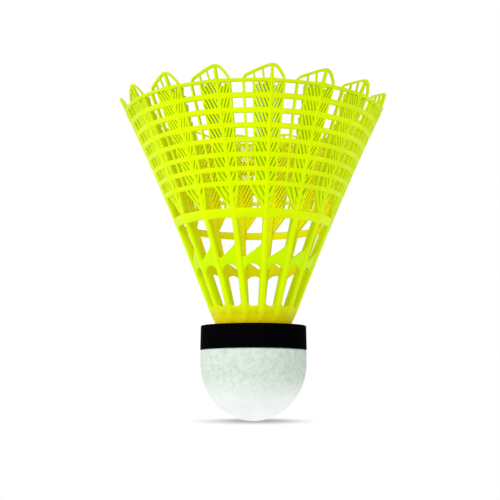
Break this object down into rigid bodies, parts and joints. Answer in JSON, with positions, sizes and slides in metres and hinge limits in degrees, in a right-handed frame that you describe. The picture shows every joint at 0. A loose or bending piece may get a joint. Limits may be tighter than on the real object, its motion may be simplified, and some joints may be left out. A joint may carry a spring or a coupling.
{
  "type": "badminton shuttlecock",
  "caption": "Shuttlecock with a moulded nylon net skirt of ribs, rings and petal-shaped tips, glued into a leather-covered cork base with a black band.",
  "frame": {"origin": "lowest point of the rounded base, on the axis, with the base down and the skirt up", "axes": "+Z along the axis from the base to the open rim of the skirt; -Y is the side seen from the front"},
  "size_m": [0.0638, 0.0638, 0.0761],
  "materials": {
    "nylon": "fluorescent yellow-green moulded nylon, slightly translucent, satin",
    "leather": "white coated leather with a fine wrinkled grain",
    "cork": "pressed cork, raw",
    "tape": "matte black edging tape",
    "glue": "cured clear-yellow adhesive",
    "steel": "turned steel"
  },
  "bodies": {
    "root": {"skirt": "nylon", "cover": "leather", "cork_core": "cork", "band": "tape", "adhesive_ring": "glue", "ballast_slug": "steel"}
  },
  "joints": []
}
